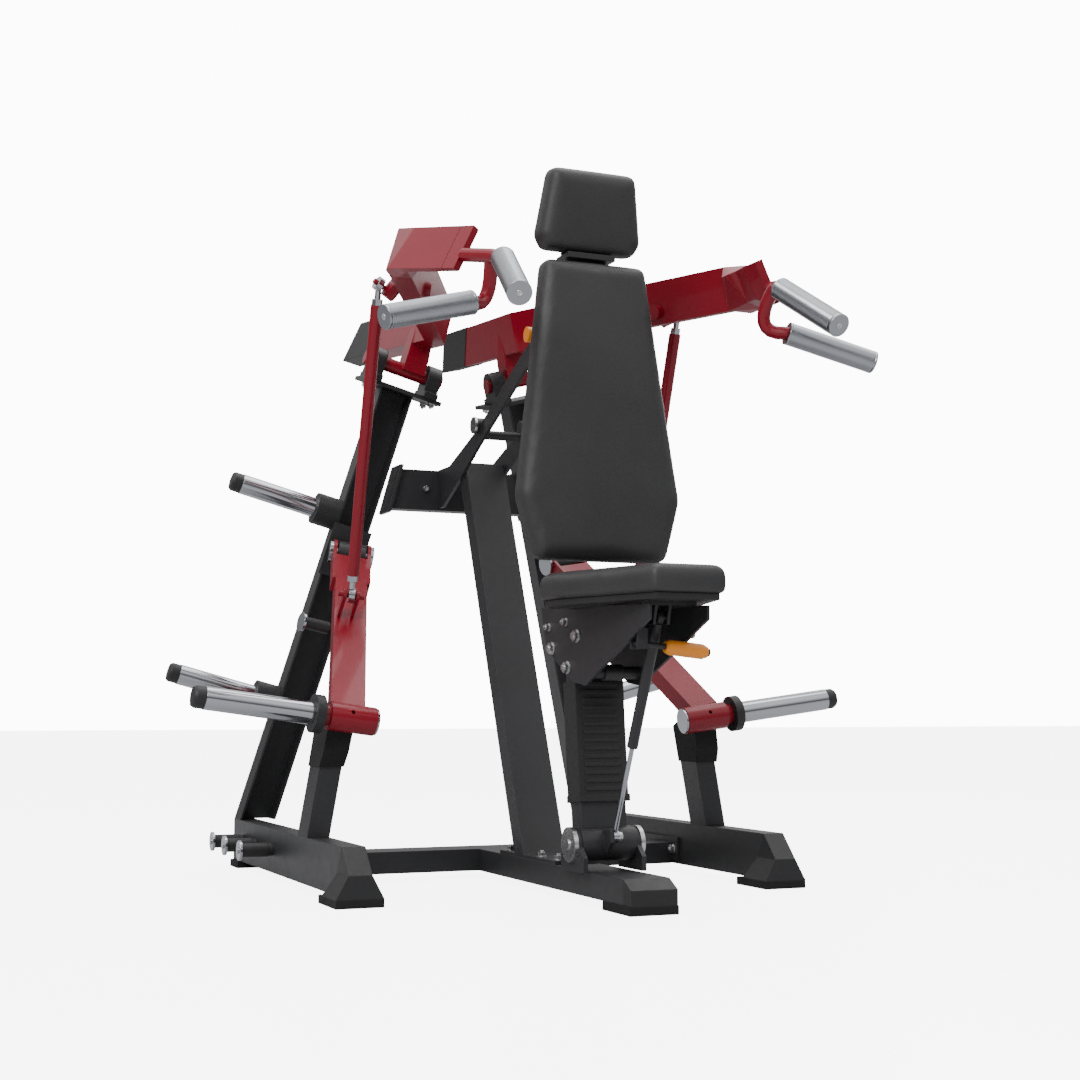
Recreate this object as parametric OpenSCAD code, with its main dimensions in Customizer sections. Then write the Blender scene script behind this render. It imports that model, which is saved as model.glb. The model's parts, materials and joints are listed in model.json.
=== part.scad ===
// Plate-loaded shoulder and chest press with independent leaning arms, modelled in millimetres.
// +X is to the sitter's left hand side of the machine, -Y is the front, +Z is up.
// The origin is on the floor, in the middle of the machine's plan.
// Every side piece is drawn for +X and mirrored for -X.

/* [Floor frame] */
// Outer width of the floor rail tube
rail_w = 50; // [40:1:60]
// Height of the floor rail tube
rail_h = 100; // [80:1:110]
// Distance from the centre plane to the middle of a rail
rail_x = 485; // [470:1:500]
// Thickness of the rubber feet
foot_t = 17; // [12:1:20]
// Wall of the frame tubes
wall = 4; // [3:0.5:6]
// Width of the centre floor beam
beam_w = 100; // [80:1:120]

/* [Uprights] */
// Width of the open channel
chan_w = 86; // [70:1:90]
// Depth of the open channel
chan_d = 64; // [50:1:70]
// Plate thickness of the open channel
chan_t = 5; // [4:0.5:8]
// Length of the bearing plate on top of the upright
plate_l = 210; // [200:1:230]

/* [Press arms] */
// Height of the arm tube
arm_h = 100; // [80:1:110]
// Thickness of the arm tube
arm_w = 50; // [40:1:60]
// Diameter of the pivot shaft of the arm
shaft_d = 36; // [30:1:40]
// Radial clearance of the bearings
run_gap = 0.05; // [0.02:0.01:0.1]
// Diameter of a hand grip
grip_d = 48; // [40:1:52]
// Diameter of the bent handle tube
handle_d = 28; // [22:1:32]
// Diameter of the push rod tube
rod_d = 28; // [22:1:30]

/* [Weight levers] */
// Width of the lever tube
lever_w = 76; // [60:1:80]
// Depth of the lever tube
lever_t = 40; // [30:1:46]
// Diameter of the sleeves that take the plates
sleeve_d = 50; // [46:1:52]
// Length of a loading sleeve
sleeve_l = 236; // [200:1:250]
// Bore of the push rod eye at its open pivot
eye_bore = 23; // [22.5:0.5:25]

/* [Seat] */
// Width of the seat column
post_w = 100; // [80:1:102]
// Depth of the seat column
post_d = 50; // [40:1:54]
// Pitch of the ribs on the column cover
rib_pitch = 16.5; // [14:0.5:20]
// Diameter of the gas spring cylinder
gas_d = 22; // [18:1:28]

/* [Pads] */
// Thickness of the back pad
pad_t = 58; // [45:1:62]
// Thickness of the seat pad
seat_t = 56; // [45:1:60]

/* [Hidden] */
$fn = 48;
// The plan is laid out from the seat's working line, then moved to its middle.
y_shift = 52.77;
rail_z = foot_t + rail_h;
// Upright: foot centre, rising direction and rearward direction of its section
up_p = [465, 553, 118];
up_d = [-0.2729, -0.1833, 1];
up_y = [-0.0458, 0.9846, 0.168];
// Arm pivot
arm_a = [0.9648, 0, 0.263];
arm_p = [180, 311, 1250];
// Lower inner edge of the arm tube: rear end, kink above the pivot, bend near the front
arm_r = [124, 818, 1355];
arm_k = [97, 180, 1287];
arm_b = [397, -447, 1289];
arm_lean = [-0.22, 0, 0.975];
// Direction of the slanted rear end
arm_cut = [-25, -86, 93];
// Front length: middle of its outer face at the bend, forward and rising directions
arm_f = [418, -462, 1335.5];
arm_fd = [-0.36, -0.915, -0.18];
arm_up = [-0.473, -0.151, 0.868];
front_w = 38;
// Push rod
ball_p = [374, -162, 1335];
pin_p = [364, 61, 654];
ball_a = [0.8595, -0.2169, 0.4629];
// Weight lever: pivot, axis, rising direction, cross tube start and direction
lev_q = [292, 336, 775];
lev_a = [0.972, 0.170, 0.160];
lev_d = [-0.2325, 0.758, 0.610];
lev_c = [434.6, -151, 388];
// Middle of the pivot, on the centre plane of the lever tube
lev_m = along(lev_q, lev_a, -(lev_q - lev_c) * unit(lev_a));
horn_p = [378, -168, 365];
horn_d = [0.990, -0.0445, 0.135];
// Seat column: pivot tube and leaning direction
seat_p = [0, -534, 120];
seat_lean = 5.5;
gas_lo = [0, -586, 137];
gas_hi = [0, -790, 568];
// Pivot of the seat's release lever
release_p = [-46, -800, 517];

// ---------- helpers ----------
function unit(v) = v / norm(v);
function along(p, d, s) = p + unit(d) * s;
// Point on a cubic curve through four control points
function curve(a, b, c, d, t) =
    a * pow(1 - t, 3) + b * 3 * t * pow(1 - t, 2) + c * 3 * t * t * (1 - t) + d * pow(t, 3);

module at_origin() translate([0, y_shift, 0]) children();
module side(s) mirror([s < 0 ? 1 : 0, 0, 0]) children();
module both() {
    children();
    mirror([1, 0, 0]) children();
}
// Rigid frame at p with Z along d and Y as near to up as it can be
module frame_at(p, d, up) {
    z = unit(d);
    x = unit(cross(up, z));
    y = cross(z, x);
    multmatrix([
        [x[0], y[0], z[0], p[0]],
        [x[1], y[1], z[1], p[1]],
        [x[2], y[2], z[2], p[2]],
        [0, 0, 0, 1]
    ]) children();
}
module aim(p, d) frame_at(p, d, abs(unit(d)[2]) > 0.9 ? [0, 1, 0] : [0, 0, 1]) children();
module rod(p, d, dia, len) aim(p, d) cylinder(d = dia, h = len);
module upright_frame() frame_at(up_p, up_d, up_y) children();
// Outline in the Y-Z plane, w wide, starting at x0
module side_plate(x0, w, pts) translate([x0, 0, 0]) rotate([90, 0, 90]) linear_extrude(w) polygon(pts);
module hex_nut(af, h) cylinder(d = af / cos(30), h = h, $fn = 6);
// Washer, nut and the end of a bolt
module bolt_end(af = 18, h = 9) {
    cylinder(d = af * 1.35, h = 2);
    translate([0, 0, 2]) hex_nut(af, h);
    translate([0, 0, 2 + h]) cylinder(d = af * 0.52, h = 4);
}
// Round tube bent along a list of points
module bent_tube(path, d) for (i = [0 : len(path) - 2]) hull() for (q = [path[i], path[i + 1]])
    translate(q) sphere(d = d, $fn = 16);

// ---------- floor frame ----------
module rail() {
    x0 = rail_x - rail_w / 2;
    difference() {
        side_plate(x0, rail_w, [[-387, rail_z], [-334, foot_t], [588, foot_t], [588, rail_z]]);
        side_plate(x0 + wall, rail_w - 2 * wall,
            [[-420, rail_z - wall], [-420, foot_t + wall], [580, foot_t + wall], [580, rail_z - wall]]);
    }
}
module rail_end_cap() {
    x0 = rail_x - rail_w / 2;
    side_plate(x0, rail_w, [[-387.1, rail_z], [-438, 64], [-359.1, 64]]);
    hull() {
        translate([x0, -438, 63]) cube([rail_w, 78.8, 1]);
        translate([rail_x - 50, -438, foot_t]) cube([100, 103.2, 1]);
    }
}
module beam_end_cap()
    side_plate(-beam_w / 2, beam_w, [[-730, 67], [-766, 48], [-766, foot_t], [-730, foot_t]]);
module end_caps() color([0.08, 0.08, 0.09]) at_origin() {
    both() rail_end_cap();
    beam_end_cap();
}
module foot_pad(x0, x1, y0, y1) {
    translate([x0, y0, 0]) cube([x1 - x0, y1 - y0, foot_t]);
}
module rubber_feet() color([0.05, 0.05, 0.05]) at_origin() {
    both() {
        foot_pad(rail_x - 50, rail_x + 50, -438, -308);
        foot_pad(rail_x - 33, rail_x + 33, 505, 588);
    }
    foot_pad(-beam_w / 2 - 2, beam_w / 2 + 2, -766, -640);
}
module lower_crossmember() color([0.1, 0.1, 0.11]) at_origin() {
    difference() {
        translate([-452, 50, foot_t]) cube([904, 100, 50]);
        translate([-460, 50 + wall, foot_t + wall]) cube([920, 100 - 2 * wall, 50 - 2 * wall]);
    }
    both() translate([452, 16, 8 + foot_t]) cube([8, 203, 56]);
}
module centre_beam() color([0.1, 0.1, 0.11]) at_origin() difference() {
    translate([-beam_w / 2, -730, foot_t]) cube([beam_w, 780, 50]);
    translate([-beam_w / 2 + wall, -740, foot_t + wall]) cube([beam_w - 2 * wall, 800, 50 - 2 * wall]);
}
module front_post() difference() {
    translate([0, -40, 0]) rotate([90, 0, 0]) linear_extrude(80)
        polygon([[460, rail_z], [510, rail_z], [473, 332], [423, 332]]);
    translate([0, -40 - wall, 0]) rotate([90, 0, 0]) linear_extrude(80 - 2 * wall)
        polygon([[464, rail_z - 1], [506, rail_z - 1], [468.5, 328], [427.5, 328]]);
}
module front_posts() color([0.1, 0.1, 0.11]) at_origin() both() front_post();
// Rubber block over the top of the post that the lever's cross tube comes down on
module bumper() difference() {
    intersection() {
        side_plate(400, 100, [[-36, 268], [-36, 352], [-70, 366], [-126, 369], [-148, 356], [-143, 300], [-126, 268]]);
        translate([0, 0, 0]) rotate([90, 0, 0]) linear_extrude(170)
            polygon([[432, 262], [488, 262], [470, 375], [412, 375]]);
    }
    translate([0, -39.7, 0]) rotate([90, 0, 0]) linear_extrude(80.6)
        polygon([[459.7 - 0.174 * 143, 260], [510.3 - 0.174 * 143, 260], [473.3, 332.3], [422.7, 332.3]]);
    // seat of the cross tube and of the lever tube at rest
    aim(horn_p, horn_d) translate([0, 0, -10]) cylinder(d = 62.5, h = 130);
    lever_bar(-0.3, -20, 200);
}
module bumpers() color([0.07, 0.07, 0.07]) at_origin() both() bumper();

// ---------- uprights and their fittings ----------
module upright() difference() {
    upright_frame() difference() {
        translate([-chan_w / 2, -chan_d / 2, -60]) cube([chan_w, chan_d, 1194]);
        translate([-chan_w / 2 + chan_t, -chan_d / 2 - 1, -61])
            cube([chan_w - 2 * chan_t, chan_d - chan_t + 1, 1196]);
    }
    translate([300, 300, rail_z - 200]) cube([400, 500, 200]);
}
// Plate with the arm bearings, square to the upright
module bearing_plate() upright_frame() translate([-110, -66, 1134]) cube([plate_l, 100, 10]);
module bearing_plates() color([0.1, 0.1, 0.11]) at_origin() both() bearing_plate();
// Offsets of the two bearings along the pivot axis, from the pivot point
blocks_at = [-96, 54];
module pillow_block(s) frame_at(along(arm_p, arm_a, s), arm_a, [0, -0.17, 0.98]) {
    difference() {
        union() {
            translate([-34, -49, -18]) cube([68, 49, 36]);
            translate([-48, -49, -18]) cube([96, 15, 36]);
            translate([0, 0, -18]) cylinder(d = 68, h = 36);
        }
        translate([0, 0, -22]) cylinder(d = shaft_d + 2 * run_gap, h = 44);
    }
}
module pillow_blocks() color([0.06, 0.06, 0.06]) at_origin() both() difference() {
    for (s = blocks_at) pillow_block(s);
    bearing_plate();
}
module storage_at(z) {
    upright_frame() translate([chan_w / 2, 0, z]) rotate([0, 90, 0]) children();
}
storage_heights = [297, 792];
module storage_collars() color([0.07, 0.07, 0.07]) at_origin() both() for (z = storage_heights)
    storage_at(z) cylinder(d = 80, h = 60);
module storage_sleeves() color([0.85, 0.86, 0.88]) at_origin() both() for (z = storage_heights)
    storage_at(z) translate([0, 0, 60]) cylinder(d = sleeve_d, h = 194);
module storage_caps() color([0.05, 0.05, 0.05]) at_origin() both() for (z = storage_heights)
    storage_at(z) translate([0, 0, 254]) {
        cylinder(d = sleeve_d - 2, h = 21);
        translate([0, 0, 21]) cylinder(d1 = sleeve_d - 2, d2 = sleeve_d - 9, h = 5);
    }
peg_at = [183, 342, 480];
module peg_rollers() color([0.07, 0.07, 0.07]) at_origin() both() for (y = peg_at)
    translate([rail_x + rail_w / 2, y, 70]) rotate([0, 90, 0]) {
        cylinder(d = 28, h = 12);
        translate([0, 0, 12]) cylinder(d = 32, h = 62);
    }
module peg_discs() color([0.85, 0.86, 0.88]) at_origin() both() for (y = peg_at)
    translate([rail_x + rail_w / 2 + 74, y, 70]) rotate([0, 90, 0]) {
        cylinder(d = 46, h = 6);
        translate([0, 0, 6]) cylinder(d = 14, h = 3);
    }
// Lever pivot tube on its stem and mounting plate
module lever_hub() difference() {
    union() {
        upright_frame() {
            translate([-50, -38, 640]) cube([100, 6, 134]);
            translate([-18, -95, 682]) cube([36, 57, 48]);
        }
        aim(along(lev_m, lev_a, -34), lev_a) cylinder(d = 60, h = 68);
    }
    aim(along(lev_m, lev_a, -40), lev_a) cylinder(d = 24 + 2 * run_gap, h = 80);
    for (s = [36, -60]) aim(along(lev_m, lev_a, s), lev_a) cylinder(d = 66, h = 24);
    storage_at(storage_heights[1]) translate([0, 0, -1]) cylinder(d = 81, h = 30);
}
module lever_hubs() color([0.08, 0.08, 0.08]) at_origin() both() lever_hub();

// ---------- centre frame ----------
module centre_column() color([0.1, 0.1, 0.11]) at_origin() {
    difference() {
        translate([0, -224, 75]) rotate([-22.4, 0, 0]) difference() {
            translate([-50, 0, -40]) cube([100, 50, 1035]);
            translate([-50 + wall, wall, -41]) cube([100 - 2 * wall, 50 - 2 * wall, 1031]);
        }
        translate([-60, -400, -25]) cube([120, 400, 100]);
    }
    translate([-50, -400, 67]) cube([100, 316, 8]);
}
module upper_crossmember() color([0.1, 0.1, 0.11]) at_origin() {
    difference() {
        translate([-188, 333, 895]) cube([376, 50, 102]);
        translate([-200, 333 + wall, 895 + wall]) cube([400, 50 - 2 * wall, 102 - 2 * wall]);
        both() translate([188, 300, 890]) rotate([0, -15.3, 0]) cube([80, 120, 160]);
    }
    both() translate([188, 318, 884]) rotate([0, -15.3, 0]) cube([8, 80, 126]);
}
module backrest_plate(x0) side_plate(x0, 8,
    [[333, 900], [333, 998], [252, 998], [93, 1048], [38, 1066], [-232, 1188], [-392, 1250], [-392, 1192],
     [-246, 1148], [-8, 1044], [45, 1020], [169, 960], [300, 900]]);
module backrest_plates() color([0.1, 0.1, 0.11]) at_origin() {
    backrest_plate(50);
    difference() {
        union() {
            backrest_plate(-58);
            translate([-62, -388, 1192]) cube([4, 54, 24]);
        }
        translate([-70, -361, 1203]) rotate([0, 90, 0]) cylinder(d = 8 + 2 * run_gap, h = 30);
    }
    translate([-50, 34, 1045]) rotate([0, 90, 0]) cylinder(d = 22, h = 100);
    for (s = [-1, 1]) translate([s * 46, 40, 1068]) rotate([0, 90 * s, 0]) cylinder(d = 36, h = 22);
}
module behind_pad() translate([0, -496, 696]) rotate([-3.1, 0, 0]) children();
// Spine behind the back pad, with the block that joins it to the two plates
module back_spine() color([0.09, 0.09, 0.1]) at_origin() {
    behind_pad() {
        difference() {
            translate([-30, 6, 64]) cube([60, 60, 540]);
            translate([-30 + wall, 6 + wall, 63]) cube([60 - 2 * wall, 60 - 2 * wall, 542]);
        }
        for (z = [104, 464]) translate([-70, 0.1, z]) cube([140, 6, 60]);
    }
    translate([-50, -424, 1204]) cube([100, 32, 40]);
}
// Pads: flat panels with bevelled edges, made from an outline and a smaller front outline
module pad(outline, inner, t, bevel) hull() {
    linear_extrude(t - bevel) polygon(outline);
    linear_extrude(t) polygon(inner);
}
module back_pad() color([0.12, 0.12, 0.13]) at_origin()
    translate([0, -496, 696]) rotate([86.9, 0, 0]) pad(
        [[-146, 0], [146, 0], [179, 118], [183, 140], [120, 636], [114, 641], [-114, 641], [-120, 636],
         [-183, 140], [-179, 118]],
        [[-134, 12], [134, 12], [165, 122], [169, 140], [107, 626], [102, 629], [-102, 629], [-107, 626],
         [-169, 140], [-165, 122]], pad_t, 14);
module head_pad() color([0.12, 0.12, 0.13]) at_origin()
    translate([0, -430, 1371]) rotate([98.6, 0, 0]) pad(
        [[-106, 0], [106, 0], [117, 28], [101, 167], [92, 177], [-92, 177], [-101, 167], [-117, 28]],
        [[-94, 12], [94, 12], [103, 30], [88, 159], [82, 165], [-82, 165], [-88, 159], [-103, 30]], 62, 14);
module neck_bracket() color([0.09, 0.09, 0.1]) at_origin() {
    difference() {
        translate([-45, -460.5, 1230]) cube([90, 8, 124]);
        behind_pad() translate([-30.05, 5.95, 64]) cube([60.1, 60.1, 540.1]);
    }
    translate([-55, -486, 1350]) cube([110, 64, 12]);
    translate([0, -430, 1371]) rotate([8.6, 0, 0]) translate([-45, 0.1, -18]) cube([90, 8, 130]);
}

// ---------- seat ----------
module seat_bracket() color([0.1, 0.1, 0.11]) at_origin() {
    for (x = [-70, 60]) side_plate(x, 10, [[-590, 67], [-590, 96], [-566, 118], [-502, 118], [-478, 96], [-478, 67]]);
    difference() {
        for (x = [-70, 60]) translate([x, -534, 120]) rotate([0, 90, 0]) cylinder(d = 64, h = 10);
        translate([-80, -600, 0]) cube([160, 200, 67]);
    }
}
module seat_column() color([0.1, 0.1, 0.11]) at_origin() {
    difference() {
        translate([0, -540, 145]) rotate([-seat_lean, 0, 0]) difference() {
            translate([-post_w / 2, 0, -20]) cube([post_w, post_d, 345]);
            translate([-post_w / 2 + wall, wall, -21]) cube([post_w - 2 * wall, post_d - 2 * wall, 341]);
        }
        translate([-59, -534, 120]) rotate([0, 90, 0]) cylinder(d = 69, h = 118);
    }
    translate([-60, -534, 120]) rotate([0, 90, 0]) cylinder(d = 70, h = 120);
    side_plate(-14, 8, [[-556, 104], [-556, 146], [-576, 151], [-598, 148], [-600, 126], [-580, 106]]);
}
module column_cover() color([0.06, 0.06, 0.06]) at_origin()
    translate([0, -540, 145]) rotate([-seat_lean, 0, 0]) difference() {
        union() {
            translate([-55, -5, 60]) cube([110, post_d + 10, 248]);
            translate([-57, -9, 60]) cube([114, post_d + 14, 14]);
            for (i = [0 : 13]) translate([-40, -8, 82 + i * rib_pitch]) cube([80, 6, 8]);
        }
        translate([-post_w / 2, 0, 50]) cube([post_w, post_d, 270]);
    }
module carriage_plate(x0) side_plate(x0, 6,
    [[-359, 609], [-879, 588], [-879, 561], [-785, 521], [-659, 470], [-590, 440], [-533, 446], [-387, 518]]);
module seat_carriage() color([0.1, 0.1, 0.11]) at_origin() difference() {
    union() {
        carriage_plate(58);
        carriage_plate(-64);
        translate([-58, -838, 590]) cube([116, 440, 6]);
        translate([-58, -577, 466]) rotate([0, 90, 0]) cylinder(d = 26, h = 116);
        translate([-20, -577, 466]) rotate([0, 90, 0]) cylinder(d = 34, h = 40);
        translate([-58, -440, 545]) cube([116, 20, 45]);
        for (x = [-18, 12]) side_plate(x, 6, [[-812, 590], [-768, 590], [-778, 554], [-802, 554]]);
        for (y = [-816, -788]) translate([-58, y, 506]) cube([22, 4, 40]);
    }
    translate([release_p[0], -830, release_p[2]]) rotate([-90, 0, 0]) cylinder(d = 8 + 2 * run_gap, h = 60);
    // the two plates end flush under the board
    translate([-100, -930, 596]) cube([200, 396, 20]);
}
module seat_board() color([0.07, 0.07, 0.07]) at_origin() hull() {
    translate([0, 0, 596]) linear_extrude(12)
        polygon([[-66, -915], [66, -915], [148, -640], [148, -580], [114, -535], [-114, -535], [-148, -580], [-148, -640]]);
}
module seat_pad() color([0.12, 0.12, 0.13]) at_origin() translate([0, 0, 608.2]) hull() {
    linear_extrude(seat_t - 14)
        polygon([[-76, -927], [76, -927], [158, -648], [158, -574], [124, -529], [-124, -529], [-158, -574], [-158, -648]]);
    linear_extrude(seat_t)
        polygon([[-67, -915], [67, -915], [146, -646], [146, -578], [115, -541], [-115, -541], [-146, -578], [-146, -646]]);
}
module seat_bolt(y, z, d) translate([64, y, z]) rotate([0, 90, 0]) {
    cylinder(d = d, h = 2);
    translate([0, 0, 2]) hex_nut(d * 0.72, 8);
    translate([0, 0, 10]) cylinder(d = d * 0.4, h = 4);
}
module seat_bolts() color([0.8, 0.8, 0.82]) at_origin() {
    both() {
        seat_bolt(-549, 541, 28);
        seat_bolt(-420, 520, 28);
        seat_bolt(-500, 478, 28);
        seat_bolt(-493, 572, 18);
        seat_bolt(-403, 565, 18);
    }
    translate([-12, gas_hi[1], gas_hi[2]]) rotate([0, 90, 0]) cylinder(d = 8, h = 24);
}
gas_d_vec = gas_hi - gas_lo;
module gas_rod() color([0.8, 0.8, 0.82]) at_origin() difference() {
    union() {
        rod(along(gas_lo, gas_d_vec, 8), gas_d_vec, 10, 340 - 8 - 100);
        translate([-5, gas_lo[1], gas_lo[2]]) rotate([0, 90, 0]) cylinder(d = 24, h = 12);
    }
    translate([-10, gas_lo[1], gas_lo[2]]) rotate([0, 90, 0]) cylinder(d = 10 + 2 * run_gap, h = 30);
}
module gas_cylinder() color([0.06, 0.06, 0.06]) at_origin() difference() {
    union() {
        aim(along(gas_lo, gas_d_vec, 200), gas_d_vec) difference() {
            cylinder(d = gas_d, h = norm(gas_d_vec) - 211);
            translate([0, 0, -1]) cylinder(d = 10.4, h = norm(gas_d_vec) - 236);
        }
        translate([-6, gas_hi[1], gas_hi[2]]) rotate([0, 90, 0]) cylinder(d = 26, h = 12);
    }
    translate([-20, gas_hi[1], gas_hi[2]]) rotate([0, 90, 0]) cylinder(d = 15, h = 40);
}
module release_lever() color([0.1, 0.1, 0.1]) at_origin() translate(release_p) {
    rotate([0, 96, 0]) cylinder(d = 11, h = 148);
    rotate([0, 96, 0]) translate([0, 0, 145.2]) cylinder(d = 16, h = 5);
    translate([0, -11, 0]) rotate([-90, 0, 0]) cylinder(d = 16, h = 22);
    translate([0, -16, 0]) rotate([-90, 0, 0]) cylinder(d = 8, h = 32);
}
module release_grip() color([1, 0.55, 0.1]) at_origin()
    translate(release_p) rotate([0, 96, 0]) difference() {
        union() {
            translate([0, 0, 55]) cylinder(d1 = 22, d2 = 30, h = 10);
            translate([0, 0, 65]) cylinder(d = 30, h = 70);
            translate([0, 0, 135]) cylinder(d1 = 30, d2 = 22, h = 10);
        }
        translate([0, 0, 50]) cylinder(d = 11.2, h = 100);
    }
module back_knob() color([1, 0.55, 0.1]) at_origin()
    translate([-62.3, -361, 1203]) rotate([0, -90, 0]) {
        translate([0, 0, -11]) cylinder(d = 8, h = 12);
        cylinder(d = 16, h = 12);
        translate([0, 0, 12]) cylinder(d = 34, h = 26);
    }

// ---------- press arms ----------
arm_rd = arm_k - arm_r;
arm_md = arm_b - arm_k;
// Square stretch of the arm tube whose lower inner edge runs from p along d
module arm_bar(p, d, up, s0, s1, inset) frame_at(p, d, up)
    translate([inset, inset, s0]) cube([arm_w - 2 * inset, arm_h - 2 * inset, s1 - s0]);
module front_bar(s0, s1, inset) frame_at(arm_f, arm_fd, arm_up) translate([0, 0, s0]) linear_extrude(s1 - s0)
    polygon([[-inset, 50 - inset], [inset - front_w, 50 - inset], [inset - front_w, 0.44 * inset - 24],
        [0.39 * inset - 12, inset - 50], [-inset, inset - 50]]);
// Half space behind the slanted rear end, s further forward
module arm_behind(s) {
    p = along(arm_r, arm_rd, s);
    n = unit(cross(arm_cut, cross(arm_rd, arm_cut)));
    frame_at(p, n, arm_cut) translate([-200, -200, -400]) cube([400, 400, 400]);
}
module arm_body(inset, s_end) {
    difference() {
        hull() arm_bar(arm_r, arm_rd, arm_lean, -20, norm(arm_rd) - 6, inset);
        arm_behind(0);
    }
    hull() {
        arm_bar(arm_r, arm_rd, arm_lean, norm(arm_rd) - 8, norm(arm_rd) - 6, inset);
        arm_bar(arm_k, arm_md, arm_lean, 6, 8, inset);
    }
    hull() arm_bar(arm_k, arm_md, arm_lean, 6, norm(arm_md) - 44, inset);
    hull() {
        arm_bar(arm_k, arm_md, arm_lean, norm(arm_md) - 46, norm(arm_md) - 44, inset);
        frame_at(arm_f, arm_fd, arm_up) {
            translate([-34, arm_h / 2 - inset, 12]) rotate([90, 0, 0]) cylinder(r = 34 - inset, h = 1, $fn = 40);
            translate([-16, inset - arm_h / 2, -14]) rotate([-90, 0, 0]) cylinder(r = 16 - inset, h = 1, $fn = 40);
        }
        front_bar(36, 38, inset);
    }
    difference() {
        front_bar(36, s_end, inset);
        // the inner corner of the front end is cut off
        frame_at(arm_f, arm_fd, arm_up) rotate([90, 0, 0]) translate([0, 0, -100]) linear_extrude(200)
            polygon([[-90, 110], [-front_w, 158], [-16, 192], [-8, 260], [-90, 260]]);
    }
}
module arm() {
    difference() {
        union() {
            difference() {
                arm_body(0, 195);
                arm_body(4, 150);
                hull() arm_bar(arm_r, arm_rd, arm_lean, -10, 120, 4);
                // shallow groove where the front length is joined on
                difference() {
                    front_bar(156, 158, -5);
                    front_bar(150, 164, 1);
                }
            }
            // block that carries the shaft under the arm
            hull() {
                frame_at(arm_p, arm_a, [0, -0.17, 0.98]) translate([-28, 0, -68]) cube([56, 40, 57]);
                arm_bar(arm_r, arm_rd, arm_lean, 482, 538, 3);
            }
        }
        // the hollow of the tube goes on through the block
        hull() arm_bar(arm_r, arm_rd, arm_lean, 470, 550, 16);
    }
    aim(along(arm_p, arm_a, -122), arm_a) cylinder(d = shaft_d, h = 207);
    arm_boss();
}
module arm_boss() {
    frame_at(arm_k, arm_md, arm_lean) translate([-13, 30, 446]) rotate([0, 90, 0]) cylinder(d = 34, h = 15);
    // lug on the outer face for the push rod's eye
    hull() {
        frame_at(arm_k, arm_md, arm_lean) translate([arm_w - 2, 34, 430]) cube([2, 36, 60]);
        aim(along(ball_p, ball_a, -46), ball_a) cylinder(d = 30, h = 26, $fn = 32);
    }
    aim(along(ball_p, ball_a, -24), ball_a) cylinder(d = 12, h = 38);
}
module arm_cap() difference() {
    arm_bar(arm_r, arm_rd, arm_lean, -30, 330, -1.5);
    arm_behind(-4);
    difference() {
        arm_bar(arm_r, arm_rd, arm_lean, -30, 400, -10);
        arm_behind(205);
    }
    difference() {
        arm_bar(arm_r, arm_rd, arm_lean, -30, 340, 0);
        arm_behind(0);
    }
}
handle_path = [for (i = [0 : 9]) curve([316, -706, 1264], [304, -678, 1226], [300, -652, 1176], [350, -698, 1175], i / 9)];
module handle() difference() {
    union() {
        bent_tube([[345, -640, 1284], [318, -716, 1266], [308, -747, 1255]], handle_d);
        bent_tube(handle_path, handle_d);
    }
    front_bar(0, 195, 0);
    for (g = grip_ends) aim(g[0], g[1] - g[0]) cylinder(d = 60, h = 60);
}
grip_ends = [[[307, -748, 1254], [340, -915, 1144]], [[351, -698, 1175], [540, -733, 1121]]];
module grip(p, q) aim(p, q - p) {
    l = norm(q - p);
    cylinder(d = grip_d + 1, h = 5);
    translate([0, 0, 5]) cylinder(d = grip_d, h = l - 8);
    translate([0, 0, l - 3]) cylinder(d = grip_d + 1, h = 3);
    translate([0, 0, l]) cylinder(d = 10, h = 2);
}
module grips() for (g = grip_ends) grip(g[0], g[1]);

// ---------- push rods ----------
rod_v = pin_p - ball_p;
module push_rod() aim(along(ball_p, rod_v, 48), rod_v) cylinder(d = rod_d, h = norm(rod_v) - 96);
module rod_ends() {
    difference() {
        union() {
            aim(along(ball_p, ball_a, -7), ball_a) cylinder(d = 32, h = 14);
            aim(along(ball_p, rod_v, 10), rod_v) cylinder(d = 14, h = 30);
            aim(along(ball_p, rod_v, 34), rod_v) hex_nut(22, 14);
        }
        aim(along(ball_p, ball_a, -30), ball_a) cylinder(d = 12 + 2 * run_gap, h = 50);
    }
    difference() {
        union() {
            aim(along(pin_p, lev_a, -7), lev_a) cylinder(d = 36, h = 14);
            aim(along(ball_p, rod_v, norm(rod_v) - 44), rod_v) cylinder(d = 14, h = 30);
            aim(along(ball_p, rod_v, norm(rod_v) - 48), rod_v) hex_nut(22, 14);
        }
        aim(along(pin_p, lev_a, -10), lev_a) cylinder(d = eye_bore, h = 20);
    }
}

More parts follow.
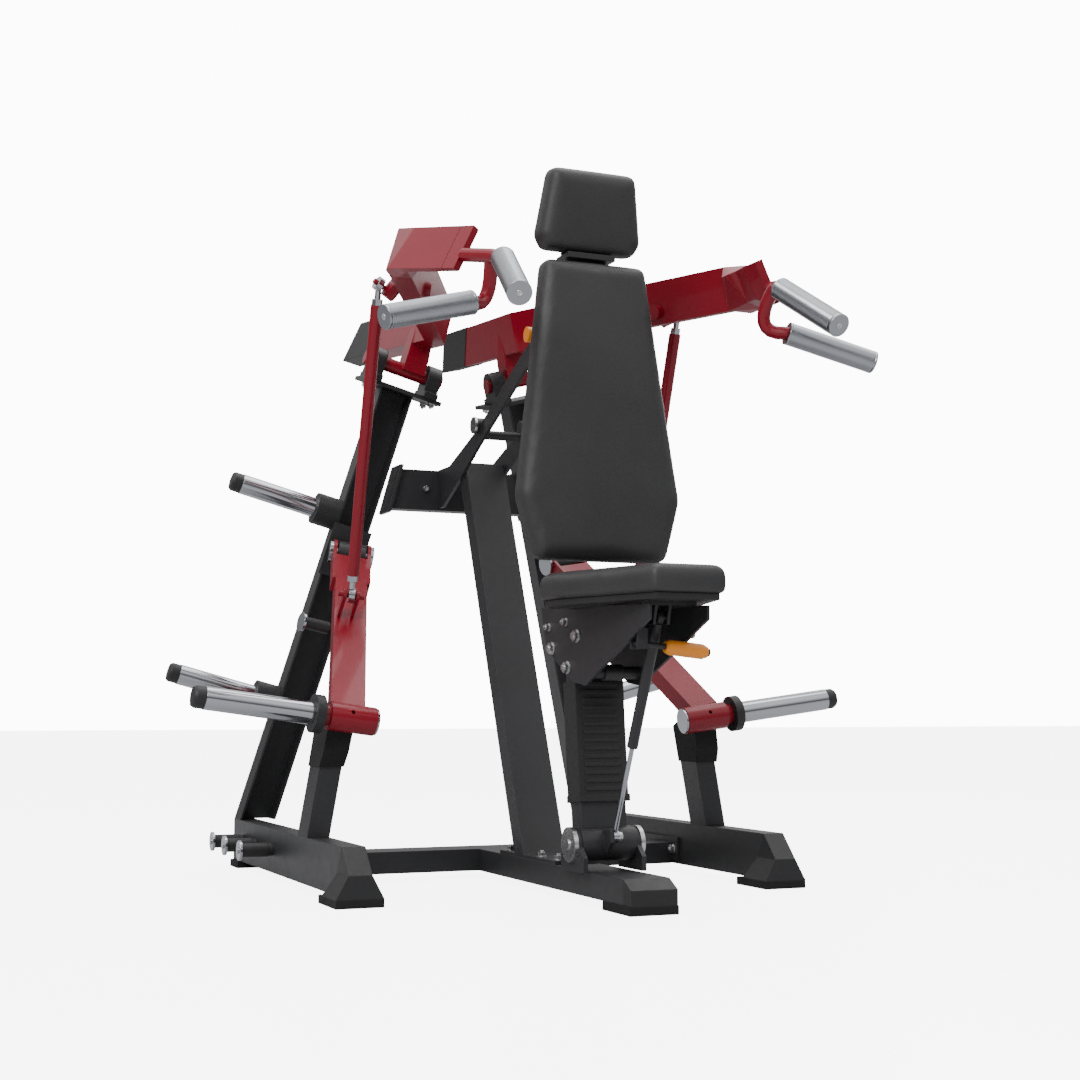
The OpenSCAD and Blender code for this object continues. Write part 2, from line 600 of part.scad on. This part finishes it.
// ---------- weight levers ----------
module lever_bar(inset, s0, s1) frame_at(lev_c, lev_d, lev_a)
    translate([-lever_t / 2 + inset, -lever_w / 2 + inset, s0]) cube([lever_t - 2 * inset, lever_w - 2 * inset, s1 - s0]);
reach = norm(lev_q - lev_c);
module lever_cheek(s) difference() {
    union() {
        frame_at(lev_c, lev_d, lev_a) translate([-lever_t / 2, s, reach - 150]) cube([lever_t, 8, 150]);
        aim(along(lev_m, lev_a, s), lev_a) cylinder(d = 62, h = 8);
    }
    aim(along(lev_m, lev_a, -60), lev_a) cylinder(d = 24, h = 120);
}
module lever() {
    difference() {
        union() {
            difference() {
                lever_bar(0, 0, reach - 44);
                lever_bar(4, -10, reach - 48);
            }
            aim(horn_p, horn_d) cylinder(d = 62, h = 104);
            aim(along(horn_p, horn_d, 104), horn_d) cylinder(d = 46, h = 16);
        }
        frame_at(along(horn_p, horn_d, 58), [0.079, 0.64, -0.3], [0, 0, 1]) translate([0, 0, -40]) cylinder(d = 9, h = 22);
    }
    lever_cheek(38);
    lever_cheek(-46);
    for (s = [11, -19]) pin_ear(s);
    aim(along(pin_p, lev_a, -30), lev_a) cylinder(d = 12, h = 60);
}
// Ear of the clevis on the lever's front face, s along the pivot axis from the rod eye
module pin_ear(s) {
    e = along(pin_p, lev_a, s);
    hull() {
        aim(e, lev_a) cylinder(d = 28, h = 8, $fn = 32);
        aim(e + [0.079, 0.64, -0.765] * 46, lev_a) cylinder(d = 34, h = 8, $fn = 32);
    }
}
module lever_sleeve() aim(along(horn_p, horn_d, 140), horn_d) cylinder(d = sleeve_d, h = sleeve_l);
module lever_blacks() {
    aim(along(horn_p, horn_d, 120), horn_d) cylinder(d = 83, h = 20);
    aim(along(horn_p, horn_d, 140 + sleeve_l), horn_d) {
        cylinder(d = sleeve_d - 2, h = 19);
        translate([0, 0, 19]) cylinder(d1 = sleeve_d - 2, d2 = sleeve_d - 9, h = 6);
    }
    aim([430, 20.5, 575.5], [80, -12, 16]) cylinder(d = 28, h = 62);
}
module lever_caps() {
    aim(along(horn_p, horn_d, -5), horn_d) cylinder(d = 58, h = 4.98);
    for (s = [46.4, -54.4]) aim(along(lev_m, lev_a, s), lev_a) cylinder(d = 56, h = 8);
    aim(along(lev_m, lev_a, -46.5), lev_a) cylinder(d = 24, h = 93);
    aim(along([430, 20.5, 575.5], [80, -12, 16], 62), [80, -12, 16]) cylinder(d = 44, h = 6);
}

// ---------- frame bolts ----------
module frame_bolts() color([0.75, 0.75, 0.78]) at_origin() {
    both() {
        for (y = [36, 194]) translate([460, y, 53]) rotate([0, -90, 0]) translate([0, 0, 8]) bolt_end(17, 9);
        upright_frame() for (x = [-88, 72]) for (y = [-54, 20]) translate([x, y, 1134]) mirror([0, 0, 1]) bolt_end(16, 8);
    }
    // two cap screws in the front face of the upper crossmember
    for (s = [-1, 1]) translate([s * 92, 333, 949]) rotate([90, 0, 0]) difference() {
        cylinder(d = 15, h = 8);
        translate([0, 0, 3]) cylinder(d = 8, h = 6, $fn = 6);
    }
    for (x = [-34, 34]) for (y = [-380, -290, -110]) translate([x, y, 75]) bolt_end(16, 8);
    for (s = [-1, 1]) translate([s * 68, 40, 1068]) rotate([0, 90 * s, 0]) cylinder(d = 40, h = 6);
    for (s = [-1, 1]) translate([s * 70, -534, 120]) rotate([0, 90 * s, 0]) {
        cylinder(d = 70, h = 9);
        translate([0, 0, 9]) cylinder(d = 20, h = 3);
    }
    translate([-6, gas_lo[1], gas_lo[2]]) rotate([0, 90, 0]) {
        cylinder(d = 10, h = 24);
        translate([0, 0, 14]) hex_nut(15, 8);
    }
}

module red() color([0.72, 0.08, 0.14]) at_origin() children();
module black() color([0.06, 0.06, 0.06]) at_origin() children();
module chrome() color([0.85, 0.86, 0.88]) at_origin() children();
module frame_colour() color([0.1, 0.1, 0.11]) at_origin() children();

frame_colour() side(-1) rail();  // rail_left
frame_colour() side(1) rail();  // rail_right
frame_colour() side(-1) upright();  // upright_left
frame_colour() side(1) upright();  // upright_right
front_posts();
bumpers();
end_caps();
rubber_feet();
lower_crossmember();
centre_beam();
centre_column();
upper_crossmember();
bearing_plates();
pillow_blocks();
backrest_plates();
back_spine();
back_pad();
head_pad();
neck_bracket();
storage_sleeves();
storage_collars();
storage_caps();
peg_rollers();
peg_discs();
frame_bolts();
seat_bracket();
seat_column();
column_cover();
lever_hubs();
seat_carriage();
seat_board();
seat_pad();
seat_bolts();
gas_cylinder();
gas_rod();
release_lever();
release_grip();
back_knob();
red() side(-1) arm();  // arm_left
black() side(-1) arm_cap();  // arm_cap_left
red() side(-1) handle();  // handle_left
chrome() side(-1) grips();  // grips_left
red() side(-1) push_rod();  // push_rod_left
chrome() side(-1) rod_ends();  // rod_ends_left
red() side(-1) lever();  // lever_left
chrome() side(-1) lever_sleeve();  // lever_sleeve_left
black() side(-1) lever_blacks();  // lever_blacks_left
chrome() side(-1) lever_caps();  // lever_caps_left
red() side(1) arm();  // arm_right
black() side(1) arm_cap();  // arm_cap_right
red() side(1) handle();  // handle_right
chrome() side(1) grips();  // grips_right
red() side(1) push_rod();  // push_rod_right
chrome() side(1) rod_ends();  // rod_ends_right
red() side(1) lever();  // lever_right
chrome() side(1) lever_sleeve();  // lever_sleeve_right
black() side(1) lever_blacks();  // lever_blacks_right
chrome() side(1) lever_caps();  // lever_caps_right
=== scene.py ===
# Looks for the plate-loaded press machine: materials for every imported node, cushions, ribbed grips, studio.
import math
import json
import bpy
import bmesh
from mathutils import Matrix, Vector, noise


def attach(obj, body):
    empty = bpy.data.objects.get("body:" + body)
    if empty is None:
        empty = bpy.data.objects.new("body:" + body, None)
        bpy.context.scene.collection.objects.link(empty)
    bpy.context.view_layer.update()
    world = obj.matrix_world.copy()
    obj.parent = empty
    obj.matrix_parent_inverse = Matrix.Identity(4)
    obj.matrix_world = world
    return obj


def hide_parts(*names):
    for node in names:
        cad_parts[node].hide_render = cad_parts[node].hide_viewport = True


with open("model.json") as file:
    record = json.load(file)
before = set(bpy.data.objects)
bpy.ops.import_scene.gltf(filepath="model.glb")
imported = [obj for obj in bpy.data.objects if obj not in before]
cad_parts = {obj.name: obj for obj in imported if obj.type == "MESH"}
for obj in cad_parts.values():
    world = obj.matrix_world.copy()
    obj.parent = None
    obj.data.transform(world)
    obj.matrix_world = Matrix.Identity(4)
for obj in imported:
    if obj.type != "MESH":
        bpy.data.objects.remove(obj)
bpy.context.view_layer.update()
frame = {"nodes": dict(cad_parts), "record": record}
NODES = frame["nodes"]
# the part is drawn from its seat line in millimetres, then moved back by this many metres
SHIFT = 0.05277
scene = bpy.context.scene


# ---------------------------------------------------------------- materials
def material(name, color, metallic=0.0, rough=0.5, coat=0.0, coat_rough=0.05, spec=0.5,
             vary=0.12, vary_scale=6.0, bump=0.02, bump_scale=900.0, bump_dist=0.0006, round_edge=0.0015,
             rough_vary=0.06, wear=0.0, wear_color=(0.3, 0.3, 0.32), voronoi=False):
    m = bpy.data.materials.new(name)
    m.use_nodes = True
    nt = m.node_tree
    nt.nodes.clear()
    N, L = nt.nodes.new, nt.links.new
    out = N("ShaderNodeOutputMaterial")
    p = N("ShaderNodeBsdfPrincipled")
    L(p.outputs[0], out.inputs[0])
    p.inputs["Metallic"].default_value = metallic
    p.inputs["Coat Weight"].default_value = coat
    p.inputs["Coat Roughness"].default_value = coat_rough
    p.inputs["Specular IOR Level"].default_value = spec
    tc = N("ShaderNodeTexCoord")
    big = N("ShaderNodeTexNoise")
    big.inputs["Scale"].default_value = vary_scale
    big.inputs["Detail"].default_value = 4
    L(tc.outputs["Object"], big.inputs["Vector"])
    ramp = N("ShaderNodeValToRGB")
    c = Vector(color)
    lo, hi = c * (1 - vary), c * (1 + vary)
    ramp.color_ramp.elements[0].position = 0.3
    ramp.color_ramp.elements[1].position = 0.7
    ramp.color_ramp.elements[0].color = (*lo, 1)
    ramp.color_ramp.elements[1].color = (*hi, 1)
    L(big.outputs["Fac"], ramp.inputs[0])
    colour = ramp.outputs[0]
    fine = N("ShaderNodeTexVoronoi") if voronoi else N("ShaderNodeTexNoise")
    fine.inputs["Scale"].default_value = bump_scale
    L(tc.outputs["Object"], fine.inputs["Vector"])
    height = fine.outputs["Distance"] if voronoi else fine.outputs["Fac"]
    mr = N("ShaderNodeMapRange")
    mr.inputs["To Min"].default_value = max(0.02, rough - rough_vary)
    mr.inputs["To Max"].default_value = min(1.0, rough + rough_vary)
    mid = N("ShaderNodeTexNoise")
    mid.inputs["Scale"].default_value = vary_scale * 7
    mid.inputs["Detail"].default_value = 6
    L(tc.outputs["Object"], mid.inputs["Vector"])
    L(mid.outputs["Fac"], mr.inputs["Value"])
    L(mr.outputs[0], p.inputs["Roughness"])
    bev = N("ShaderNodeBevel")
    bev.samples = 6
    bev.inputs["Radius"].default_value = round_edge
    if wear > 0:
        geo = N("ShaderNodeNewGeometry")
        dot = N("ShaderNodeVectorMath")
        dot.operation = "DOT_PRODUCT"
        L(bev.outputs[0], dot.inputs[0])
        L(geo.outputs["Normal"], dot.inputs[1])
        edge = N("ShaderNodeMapRange")
        edge.inputs["From Min"].default_value = 0.995
        edge.inputs["From Max"].default_value = 0.8
        edge.inputs["To Max"].default_value = wear
        L(dot.outputs["Value"], edge.inputs["Value"])
        mix = N("ShaderNodeMix")
        mix.data_type = "RGBA"
        L(edge.outputs[0], mix.inputs["Factor"])
        L(colour, mix.inputs["A"])
        mix.inputs["B"].default_value = (*wear_color, 1)
        colour = mix.outputs["Result"]
    L(colour, p.inputs["Base Color"])
    b = N("ShaderNodeBump")
    b.inputs["Strength"].default_value = bump
    b.inputs["Distance"].default_value = bump_dist
    L(height, b.inputs["Height"])
    L(bev.outputs[0], b.inputs["Normal"])
    L(b.outputs[0], p.inputs["Normal"])
    return m


MAT = {
    "frame_paint": material("powder_coat_black", (0.024, 0.024, 0.026), rough=0.42, spec=0.45, bump=0.25,
                            bump_scale=1400, wear=0.12, wear_color=(0.16, 0.16, 0.17)),
    "red_paint": material("gloss_red_paint", (0.235, 0.001, 0.012), rough=0.36, coat=0.22,
                          coat_rough=0.06, spec=0.32, vary=0.06, bump=0.03, bump_scale=300,
                          wear=0.10, wear_color=(0.5, 0.03, 0.06)),
    "chrome": material("polished_chrome", (0.44, 0.455, 0.485), metallic=1.0, rough=0.12, vary=0.04,
                       bump=0.02, bump_scale=500, rough_vary=0.04),
    "zinc_steel": material("zinc_plated_steel", (0.62, 0.62, 0.62), metallic=1.0, rough=0.28, vary=0.12,
                           vary_scale=60, bump=0.08, bump_scale=900, round_edge=0.0008),
    "cast_iron": material("painted_casting", (0.014, 0.014, 0.015), rough=0.38, bump=0.35, bump_scale=420,
                          bump_dist=0.001, round_edge=0.004, wear=0.1, wear_color=(0.12, 0.12, 0.13)),
    "black_plastic": material("moulded_black", (0.014, 0.014, 0.015), rough=0.5, bump=0.2, bump_scale=1100,
                              round_edge=0.002),
    "orange_plastic": material("orange_grip", (0.92, 0.30, 0.015), rough=0.38, vary=0.05, bump=0.15,
                               bump_scale=700, round_edge=0.002),
    "rubber": material("black_rubber", (0.012, 0.012, 0.012), rough=0.72, spec=0.3, bump=0.4, bump_scale=700,
                       round_edge=0.003),
    "upholstery": material("black_leatherette", (0.030, 0.030, 0.031), rough=0.47, spec=0.45, vary=0.1,
                           vary_scale=9, bump=0.28, bump_scale=620, bump_dist=0.0007, round_edge=0.0005,
                           rough_vary=0.05, voronoi=True),
}
SLOTS = {s["node"]: s["material_slot"] for s in frame["record"]["subparts"]}
for name, ob in NODES.items():
    m = MAT[SLOTS[name]]
    if not ob.material_slots:
        ob.data.materials.append(m)
    for sl in ob.material_slots:
        sl.material = m


# ---------------------------------------------------------------- mesh helpers
def finish_mesh(name, verts, faces, mat, smooth=True):
    me = bpy.data.meshes.new(name)
    me.from_pydata([tuple(v) for v in verts], [], faces)
    bm = bmesh.new()
    bm.from_mesh(me)
    bmesh.ops.recalc_face_normals(bm, faces=bm.faces)
    bm.to_mesh(me)
    bm.free()
    ob = bpy.data.objects.new(name, me)
    scene.collection.objects.link(ob)
    me.materials.append(mat)
    if smooth:
        for p in me.polygons:
            p.use_smooth = True
    return ob


def inset_poly(poly, d):
    """Convex counter-clockwise outline with every edge moved inwards by d."""
    n = len(poly)
    res = []
    for i in range(n):
        a, b, c = poly[i - 1], poly[i], poly[(i + 1) % n]
        u, v = (b - a).normalized(), (c - b).normalized()
        nu, nv = Vector((-u.y, u.x)), Vector((-v.y, v.x))
        res.append(b + (nu + nv) * (d / (1 + nu.dot(nv))))
    return res


def outline_ring(outline, radii, d, arc=9, step=7.0):
    """The outline inset by d with rounded corners; the number of points doesn't depend on d."""
    full = [Vector(p) for p in outline]
    poly = inset_poly(full, d)
    n = len(poly)
    corners = []
    for i in range(n):
        a, b, c = poly[i - 1], poly[i], poly[(i + 1) % n]
        u, v = (a - b).normalized(), (c - b).normalized()
        half = u.angle(v) / 2
        r = max(radii[i] - d, 0.45 * radii[i], 6)
        t = min(r / math.tan(half), 0.45 * min((a - b).length, (c - b).length))
        r = t * math.tan(half)
        cen = b + (u + v).normalized() * (r / math.sin(half))
        p0, p1 = b + u * t - cen, b + v * t - cen
        a0 = math.atan2(p0.y, p0.x)
        turn = (math.atan2(p1.y, p1.x) - a0 + math.pi) % (2 * math.pi) - math.pi
        angles = [a0 + turn * k / arc for k in range(arc + 1)]
        corners.append([cen + Vector((math.cos(q), math.sin(q))) * r for q in angles])
    ring = []
    for i in range(n):
        ring += corners[i]
        q0, q1 = corners[i][-1], corners[(i + 1) % n][0]
        m = max(2, int((full[(i + 1) % n] - full[i]).length / step))
        ring += [q0.lerp(q1, k / m) for k in range(1, m)]
    return ring


def pad(name, node, origin, ydir, zdir, outline, radii, levels, crown):
    """A cushion: a ring of the outline at each (inset, height), then a crowned face of shrinking rings."""
    base = outline_ring(outline, radii, 0)
    n = len(base)
    cen = sum((p for p in base), Vector((0, 0))) / n
    verts, faces, rings = [], [], []
    y, z = Vector(ydir), Vector(zdir)
    x = y.cross(z)

    def add(ring, h):
        ids = []
        for k, p in enumerate(ring):
            hh = h[k] if isinstance(h, list) else h
            w = (Vector(origin) + x * p.x + y * p.y + z * hh) / 1000
            w.y += SHIFT
            ids.append(len(verts))
            verts.append(w)
        rings.append(ids)

    back = outline_ring(outline, radii, levels[0][0])
    for s in (0.05, 0.3, 0.6, 0.85):
        add([cen + (p - cen) * s for p in back], levels[0][1])
    for ins, h in levels:
        add(outline_ring(outline, radii, ins), h)
    top = outline_ring(outline, radii, levels[-1][0])
    h1 = levels[-1][1]
    for s in (0.97, 0.93, 0.88, 0.8, 0.7, 0.58, 0.45, 0.3, 0.15, 0.05):
        ring = [cen + (p - cen) * s for p in top]
        swell = [0.35 * noise.noise(Vector((p.x / 55, p.y / 55, 3.1))) for p in ring]
        add(ring, [h1 + crown * (1 - s ** 2.6) + w for w in swell])
    for a, b in zip(rings, rings[1:]):
        for i in range(n):
            faces.append((a[i], a[(i + 1) % n], b[(i + 1) % n], b[i]))
    faces.append(tuple(rings[0]))
    faces.append(tuple(rings[-1]))
    ob = finish_mesh(name, verts, faces, MAT["upholstery"])
    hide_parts(node)
    return ob


def soften(ob, voxel, pressure, cap):
    """Puffs a cushion with a short cloth run, keeps each point within cap of where it was, and applies it."""
    m = ob.modifiers.new("remesh", "REMESH")
    m.mode = "VOXEL"
    m.voxel_size = voxel
    m.use_smooth_shade = True
    dg = bpy.context.evaluated_depsgraph_get()
    me = bpy.data.meshes.new_from_object(ob.evaluated_get(dg))
    ob.modifiers.clear()
    old = ob.data
    ob.data = me
    bpy.data.meshes.remove(old)
    start = [v.co.copy() for v in me.vertices]
    c = ob.modifiers.new("cloth", "CLOTH")
    c.settings.use_pressure = True
    c.settings.uniform_pressure_force = pressure
    c.settings.effector_weights.gravity = 0
    c.settings.quality = 4
    c.settings.tension_stiffness = 40
    c.settings.compression_stiffness = 40
    c.settings.bending_stiffness = 5
    c.point_cache.frame_start = 1
    c.point_cache.frame_end = 20
    for f in range(1, 21):
        scene.frame_set(f)
    dg = bpy.context.evaluated_depsgraph_get()
    got = [v.co.copy() for v in ob.evaluated_get(dg).data.vertices]
    ob.modifiers.clear()
    for v, a, b in zip(me.vertices, start, got):
        d = b - a
        if d.length > cap:
            d = d * (cap / d.length)
        v.co = a + d
    scene.frame_set(1)
    s = ob.modifiers.new("smooth", "SMOOTH")
    s.iterations = 10
    s.factor = 0.5
    sub = ob.modifiers.new("subdiv", "SUBSURF")
    sub.levels = 1
    sub.render_levels = 1
    dg = bpy.context.evaluated_depsgraph_get()
    me2 = bpy.data.meshes.new_from_object(ob.evaluated_get(dg))
    ob.modifiers.clear()
    ob.data = me2
    for p in me2.polygons:
        p.use_smooth = True


def tilt(deg):
    a = math.radians(deg)
    return (0, math.cos(a), math.sin(a)), (0, -math.sin(a), math.cos(a))


# ---------------------------------------------------------------- cushions
yb, zb = tilt(86.9)
back = pad("back_cushion", "back_pad", (0, -496, 696), yb, zb,
           [(-146, 0), (146, 0), (184, 132), (117, 641), (-117, 641), (-184, 132)],
           [22, 22, 40, 18, 18, 40],
           [(4, 0), (0.8, 3), (0, 10), (0, 28), (0.5, 35), (2.0, 40), (5.0, 44.5), (9.5, 48.8),
            (15, 52.2), (21, 54.6), (27, 55.8)], 2.0)
yh, zh = tilt(98.6)
head = pad("head_cushion", "head_pad", (0, -430, 1371), yh, zh,
           [(-102, 0), (102, 0), (119, 28), (98, 177), (-98, 177), (-119, 28)],
           [16, 16, 20, 18, 18, 20],
           [(4, 0), (0.8, 3), (0, 10), (0, 32), (0.5, 39), (2.0, 44), (5.0, 48.5), (9.5, 52.8),
            (15, 56.2), (21, 58.6), (26, 59.8)], 1.8)
seat = pad("seat_cushion", "seat_pad", (0, 0, 608.2), (0, 1, 0), (0, 0, 1),
           [(-76, -927), (76, -927), (159, -646), (159, -572),
            (124, -529), (-124, -529), (-159, -572), (-159, -646)],
           [16, 16, 30, 24, 20, 20, 24, 30],
           [(5, 0), (1, 2.5), (0, 9), (0, 29), (0.5, 36), (1.8, 41), (4.2, 45.5), (8, 49.3),
            (13, 52.2), (18, 53.7), (23, 54.3)], 1.5)
CLOTH_VOXEL, CLOTH_PRESSURE, CLOTH_CAP = 0.005, 1.2, 0.0012
for ob, body in ((back, "frame"), (head, "frame"), (seat, "seat")):
    soften(ob, CLOTH_VOXEL, CLOTH_PRESSURE, CLOTH_CAP)
    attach(ob, body)

# ---------------------------------------------------------------- ribbed hand grips
grip_mat = material("ribbed_alloy_grip", (0.38, 0.395, 0.42), metallic=1.0, rough=0.22, vary=0.05, bump=0.05,
                    bump_scale=900, round_edge=0.0004)


def lathe(name, p, q, profile, mat, seg=56):
    """Turned piece along p to q: profile is (distance along, radius), metres."""
    d = (q - p).normalized()
    a = d.orthogonal().normalized()
    b = d.cross(a)
    verts, faces = [], []
    for s, r in profile:
        for k in range(seg):
            t = 2 * math.pi * k / seg
            verts.append(p + d * s + (a * math.cos(t) + b * math.sin(t)) * r)
    for i in range(len(profile) - 1):
        for k in range(seg):
            a0, a1 = i * seg + k, i * seg + (k + 1) % seg
            faces.append((a0, a1, a1 + seg, a0 + seg))
    faces.append(tuple(range(seg)))
    faces.append(tuple(range((len(profile) - 1) * seg, len(profile) * seg)))
    return finish_mesh(name, verts, faces, mat, smooth=True)


def flat_ends(ob):
    """Smooth sides, flat end faces."""
    for p in ob.data.polygons:
        p.use_smooth = len(p.vertices) <= 4
    return ob


# radii and pitch of the ribs, in metres
RIB_R, GROOVE_R, FLANGE_R, RIB_PITCH = 0.0240, 0.02335, 0.0242, 0.0036
GRIP_ENDS = (("upper", (307, -748, 1254), (340, -915, 1144)),
             ("lower", (351, -698, 1175), (540, -733, 1121)))
for side, sx in (("left", -1), ("right", 1)):
    for tag, p, q in GRIP_ENDS:
        P = Vector((sx * p[0], p[1], p[2])) / 1000 + Vector((0, SHIFT, 0))
        Q = Vector((sx * q[0], q[1], q[2])) / 1000 + Vector((0, SHIFT, 0))
        L = (Q - P).length
        prof = [(0.0, 0.0235), (0.0004, FLANGE_R), (0.0046, FLANGE_R), (0.005, 0.0236)]
        s = 0.006
        while s < L - 0.010:
            prof += [(s, GROOVE_R), (s + 0.0006, RIB_R), (s + 0.0022, RIB_R), (s + 0.0028, GROOVE_R)]
            s += RIB_PITCH
        prof += [(L - 0.0048, 0.0234), (L - 0.0044, FLANGE_R), (L - 0.0008, FLANGE_R), (L, 0.0236)]
        g = flat_ends(lathe("grip_%s_%s" % (tag, side), P, Q, prof, grip_mat))
        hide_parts("grips_" + side)
        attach(g, "press_arm_" + side)
        d = (Q - P).normalized()
        bolt = lathe("grip_bolt_%s_%s" % (tag, side), Q - d * 0.0005, Q + d * 0.002,
                     [(0.0, 0.0062), (0.0012, 0.0062), (0.002, 0.0052), (0.002, 0.0030), (0.0006, 0.0028)],
                     MAT["zinc_steel"], 24)
        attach(flat_ends(bolt), "press_arm_" + side)

# ---------------------------------------------------------------- studio
bpy.ops.mesh.primitive_plane_add(size=60, location=(0, 0, -0.0005))
floor = bpy.context.object
floor.name = "studio_floor"
fm = bpy.data.materials.new("studio_floor_white")
fm.use_nodes = True
fn = fm.node_tree
fp = fn.nodes["Principled BSDF"]
fp.inputs["Base Color"].default_value = (0.9, 0.9, 0.905, 1)
fp.inputs["Roughness"].default_value = 0.24
fp.inputs["Specular IOR Level"].default_value = 0.35
# the camera sees a lit white sweep; reflections see a plain grey floor
glow = fn.nodes.new("ShaderNodeEmission")
glow.inputs["Strength"].default_value = 6.0
both = fn.nodes.new("ShaderNodeAddShader")
grey = fn.nodes.new("ShaderNodeBsdfDiffuse")
grey.inputs["Color"].default_value = (0.5, 0.5, 0.51, 1)
path = fn.nodes.new("ShaderNodeLightPath")
pick = fn.nodes.new("ShaderNodeMixShader")
fn.links.new(fp.outputs[0], both.inputs[0])
fn.links.new(glow.outputs[0], both.inputs[1])
fn.links.new(path.outputs["Is Camera Ray"], pick.inputs[0])
fn.links.new(grey.outputs[0], pick.inputs[1])
fn.links.new(both.outputs[0], pick.inputs[2])
fn.links.new(pick.outputs[0], fn.nodes["Material Output"].inputs[0])
floor.data.materials.append(fm)

world = bpy.data.worlds.new("studio_world")
scene.world = world
world.use_nodes = True
wn = world.node_tree
seen = wn.nodes["Background"]
seen.inputs["Color"].default_value = (1, 1, 1, 1)
seen.inputs["Strength"].default_value = 12.0
room = wn.nodes.new("ShaderNodeBackground")
room.inputs["Strength"].default_value = 1.0
wtc = wn.nodes.new("ShaderNodeTexCoord")
sep = wn.nodes.new("ShaderNodeSeparateXYZ")
wr = wn.nodes.new("ShaderNodeValToRGB")
wr.color_ramp.elements[0].position = 0.0
wr.color_ramp.elements[0].color = (0.22, 0.22, 0.225, 1)
wr.color_ramp.elements[1].position = 1.0
wr.color_ramp.elements[1].color = (1.25, 1.25, 1.25, 1)
for pos, val in ((0.12, 0.16), (0.3, 0.55), (0.55, 1.25)):
    e = wr.color_ramp.elements.new(pos)
    e.color = (val, val, val * 1.01, 1)
wpath = wn.nodes.new("ShaderNodeLightPath")
wpick = wn.nodes.new("ShaderNodeMixShader")
wn.links.new(wtc.outputs["Generated"], sep.inputs[0])
wn.links.new(sep.outputs["Z"], wr.inputs[0])
wn.links.new(wr.outputs[0], room.inputs["Color"])
wn.links.new(wpath.outputs["Is Camera Ray"], wpick.inputs[0])
wn.links.new(room.outputs[0], wpick.inputs[1])
wn.links.new(seen.outputs[0], wpick.inputs[2])
wn.links.new(wpick.outputs[0], wn.nodes["World Output"].inputs[0])


def area(name, loc, target, size, energy, color=(1, 1, 1)):
    li = bpy.data.lights.new(name, "AREA")
    li.shape = "RECTANGLE"
    li.size, li.size_y = size
    li.energy = energy
    li.color = color
    ob = bpy.data.objects.new(name, li)
    ob.location = loc
    ob.rotation_euler = (Vector(target) - Vector(loc)).to_track_quat("-Z", "Y").to_euler()
    scene.collection.objects.link(ob)
    return ob


area("key", (-3.5, -3.5, 3.6), (0, 0, 0.7), (2.2, 2.2), 130)
area("top", (0.5, 0.2, 4.2), (0, 0, 0.6), (3.0, 3.0), 70)
area("rim", (3.2, 2.4, 2.2), (0, 0, 0.9), (1.2, 2.2), 35)

cam = bpy.data.cameras.new("camera")
cam.lens = 56.46
cam.sensor_width = 36
cam.clip_end = 200
co = bpy.data.objects.new("camera", cam)
co.location = (-1.471, -3.712 + SHIFT, 0.3906)
co.rotation_euler = (math.radians(95.73), 0, math.radians(-22.72))
scene.collection.objects.link(co)
scene.camera = co
